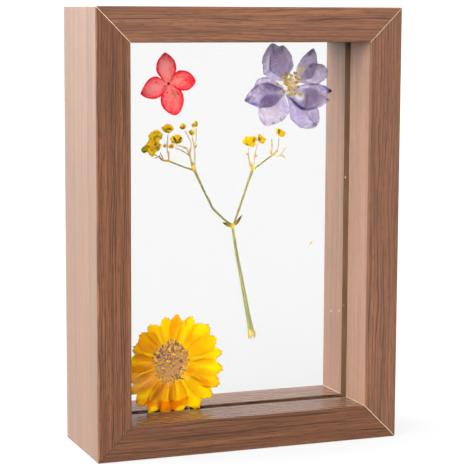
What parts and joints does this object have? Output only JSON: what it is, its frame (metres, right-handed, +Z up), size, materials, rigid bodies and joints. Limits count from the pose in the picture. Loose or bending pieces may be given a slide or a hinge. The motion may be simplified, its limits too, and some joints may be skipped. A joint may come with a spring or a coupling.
{
  "type": "pressed flower frame",
  "caption": "Free-standing see-through desk frame: mitred wood-look rails hold double glass with pressed flowers between the panes.",
  "frame": {"origin": "middle of the underside of the bottom rail, on the plane that the frame stands on", "axes": "+X to the right across the frame as seen from its front, +Y from the front to the back, +Z up"},
  "size_m": [0.13, 0.046, 0.179],
  "materials": {
    "wood_wrap": "satin walnut-look wood grain",
    "pane": "clear and smooth",
    "coral_petal": "dried petal, matte",
    "dark_eye": "dried flower eye, matte",
    "lavender_petal": "dried petal, matte, partly see-through",
    "anther": "dried stamens, matte",
    "yellow_ray": "dried petal, matte",
    "tan_disc": "dried flower disc, rough",
    "stem": "dried stem, matte",
    "spray_head": "dried flower head, rough"
  },
  "bodies": {
    "root": {"left_rail": "wood_wrap", "right_rail": "wood_wrap", "top_rail": "wood_wrap", "bottom_rail": "wood_wrap", "front_pane": "pane", "back_pane": "pane", "hydrangea_top_sepal": "coral_petal", "hydrangea_right_sepal": "coral_petal", "hydrangea_bottom_sepal": "coral_petal", "hydrangea_left_sepal": "coral_petal", "hydrangea_eye": "dark_eye", "larkspur_upper_left_sepal": "lavender_petal", "larkspur_upper_left_petal": "lavender_petal", "larkspur_upper_right_sepal": "lavender_petal", "larkspur_right_petal": "lavender_petal", "larkspur_right_sepal": "lavender_petal", "larkspur_right_lower_petal": "lavender_petal", "larkspur_lower_right_sepal": "lavender_petal", "larkspur_left_sepal": "lavender_petal", "larkspur_left_back_petal": "lavender_petal", "larkspur_lower_left_petal": "lavender_petal", "larkspur_stamens": "anther", "cosmos_ray_01": "yellow_ray", "cosmos_ray_02": "yellow_ray", "cosmos_ray_03": "yellow_ray", "cosmos_ray_04": "yellow_ray", "cosmos_ray_05": "yellow_ray", "cosmos_ray_06": "yellow_ray", "cosmos_ray_07": "yellow_ray", "cosmos_ray_08": "yellow_ray", "cosmos_ray_09": "yellow_ray", "cosmos_ray_10": "yellow_ray", "cosmos_ray_11": "yellow_ray", "cosmos_ray_12": "yellow_ray", "cosmos_ray_13": "yellow_ray", "cosmos_ray_14": "yellow_ray", "cosmos_ray_15": "yellow_ray", "cosmos_ray_16": "yellow_ray", "cosmos_ray_17": "yellow_ray", "cosmos_ray_18": "yellow_ray", "cosmos_ray_19": "yellow_ray", "cosmos_ray_20": "yellow_ray", "cosmos_disc": "tan_disc", "spray_stem": "stem", "spray_left_branch": "stem", "spray_right_branch": "stem", "spray_left_bract": "stem", "spray_right_bract": "stem", "spray_cluster": "spray_head", "spray_left_head_1": "spray_head", "spray_left_head_2": "spray_head", "spray_left_head_3": "spray_head", "spray_left_head_4": "spray_head", "spray_left_head_5": "spray_head", "spray_left_head_6": "spray_head", "spray_left_head_7": "spray_head", "spray_right_head_1": "spray_head", "spray_right_head_2": "spray_head", "spray_right_head_3": "spray_head"}
  },
  "joints": []
}
